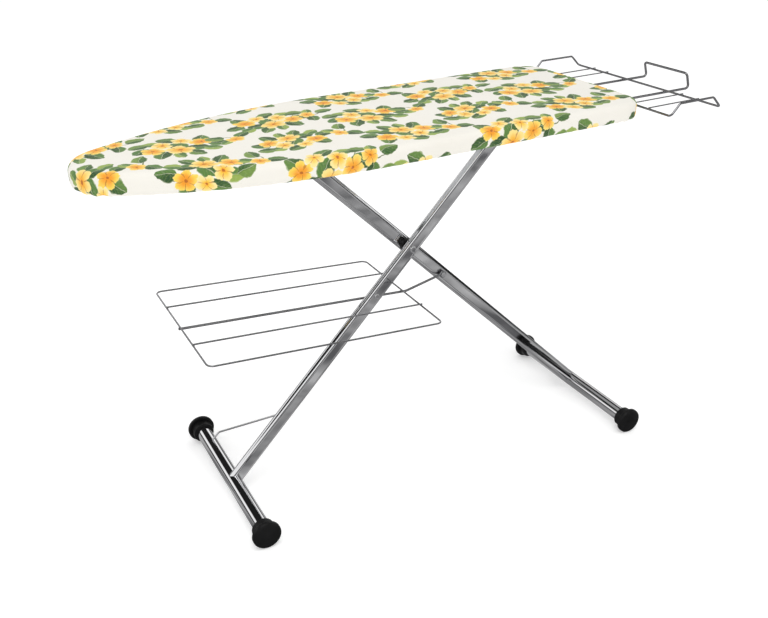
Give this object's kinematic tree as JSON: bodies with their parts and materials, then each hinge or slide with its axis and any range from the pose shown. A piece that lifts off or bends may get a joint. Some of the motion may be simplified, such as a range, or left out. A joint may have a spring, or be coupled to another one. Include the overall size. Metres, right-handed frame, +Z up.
{
  "type": "ironing board",
  "caption": "Folding ironing board on crossed chrome legs, with a padded cloth-covered top, a wire clothes shelf and a sliding wire iron rest.",
  "frame": {"origin": "on the floor under the middle of the whole object, between the nose of the board and the end of the iron rest", "axes": "+X from the nose of the board to its tail and iron rest, +Y to the far side, +Z up"},
  "size_m": [1.5193, 0.529, 0.9254],
  "materials": {
    "chrome": "bright chrome plate on steel tube and wire",
    "zinc": "dull zinc-plated sheet steel",
    "deck_paint": "light grey powder coat",
    "black_plastic": "satin black moulded plastic",
    "nylon": "natural nylon",
    "shoe_rubber": "matte black rubber",
    "pad_felt": "soft felt and foam padding",
    "cover_cotton": "plain-weave cotton with printed flowers",
    "cord_cotton": "twisted cotton cord"
  },
  "bodies": {
    "board": {"perimeter_frame": "deck_paint", "top_panel": "deck_paint", "cross_members": "zinc", "slide_rail": "zinc", "hinge_bracket": "zinc", "deck_rivets": "zinc", "hinge_pin": "zinc", "rest_glides": "black_plastic", "pad": "pad_felt", "cover": "cover_cotton", "cover_drawcord": "cord_cotton"},
    "leg_a": {"leg_a_tube": "chrome", "leg_a_plug": "black_plastic", "leg_a_crossbar": "chrome", "foot_cap_a_near": "black_plastic", "foot_cap_a_far": "black_plastic", "leg_a_brace": "chrome", "pivot_bolt": "chrome", "pivot_spacer": "black_plastic", "pivot_washer": "zinc", "pivot_nut": "zinc", "guide_stud": "chrome"},
    "leg_b": {"leg_b_tube": "chrome", "leg_b_plug": "black_plastic", "leg_b_crossbar": "chrome", "foot_cap_b_near": "black_plastic", "foot_cap_b_far": "black_plastic", "slide_pin": "zinc", "slide_bushes": "nylon", "hook_pin": "chrome"},
    "slider": {"slider_bracket": "zinc", "lever_pin": "zinc", "lever_spring": "zinc"},
    "release_lever": {"release_lever": "zinc", "brake_shoe": "shoe_rubber", "lever_grip": "black_plastic"},
    "shelf": {"shelf_frame": "chrome", "shelf_wires": "chrome", "shelf_rod": "chrome"},
    "shelf_guide": {"shelf_guide": "black_plastic"},
    "iron_rest": {"rest_loop": "chrome", "rest_bars": "chrome", "rest_arms": "chrome", "rest_stops": "black_plastic"}
  },
  "joints": [
    {"name": "fold", "type": "hinge", "parent": "board", "child": "leg_a", "pos_m": [0.26481, 0, 0.85698], "axis": [0, 1, 0], "range_deg": [0, 37.5]},
    {"name": "leg_b_scissor", "type": "hinge", "parent": "leg_a", "child": "leg_b", "pos_m": [-0.004, 0, 0.56], "axis": [0, 1, 0], "range_deg": [-76, 0]},
    {"name": "slider_level", "type": "hinge", "parent": "leg_b", "child": "slider", "pos_m": [-0.29862, 0, 0.83139], "axis": [0, 1, 0], "range_deg": [0, 38.5]},
    {"name": "shelf_hook", "type": "hinge", "parent": "leg_b", "child": "shelf", "pos_m": [0.10044, 0, 0.46379], "axis": [0, 1, 0], "range_deg": [0, 38.5]},
    {"name": "shelf_guide_swing", "type": "hinge", "parent": "leg_a", "child": "shelf_guide", "pos_m": [-0.09929, 0, 0.45472], "axis": [0, 1, 0], "range_deg": [-40.08, 0]},
    {"name": "brake_release", "type": "hinge", "parent": "slider", "child": "release_lever", "pos_m": [-0.32133, 0, 0.80233], "axis": [0, 1, 0], "range_deg": [-7, 0], "stiffness_Nm_per_rad": 2, "springref_deg": 8.59},
    {"name": "rest_slide", "type": "slide", "parent": "board", "child": "iron_rest", "axis": [0.999, 0, 0.0454], "range_m": [0, 0.11]}
  ],
  "couplings": [
    {"joint": "leg_b_scissor", "follows": "fold", "ratio": -2},
    {"joint": "slider_level", "follows": "fold", "ratio": 1},
    {"joint": "shelf_hook", "follows": "fold", "ratio": 0.958},
    {"joint": "shelf_guide_swing", "follows": "fold", "ratio": -1.042}
  ]
}
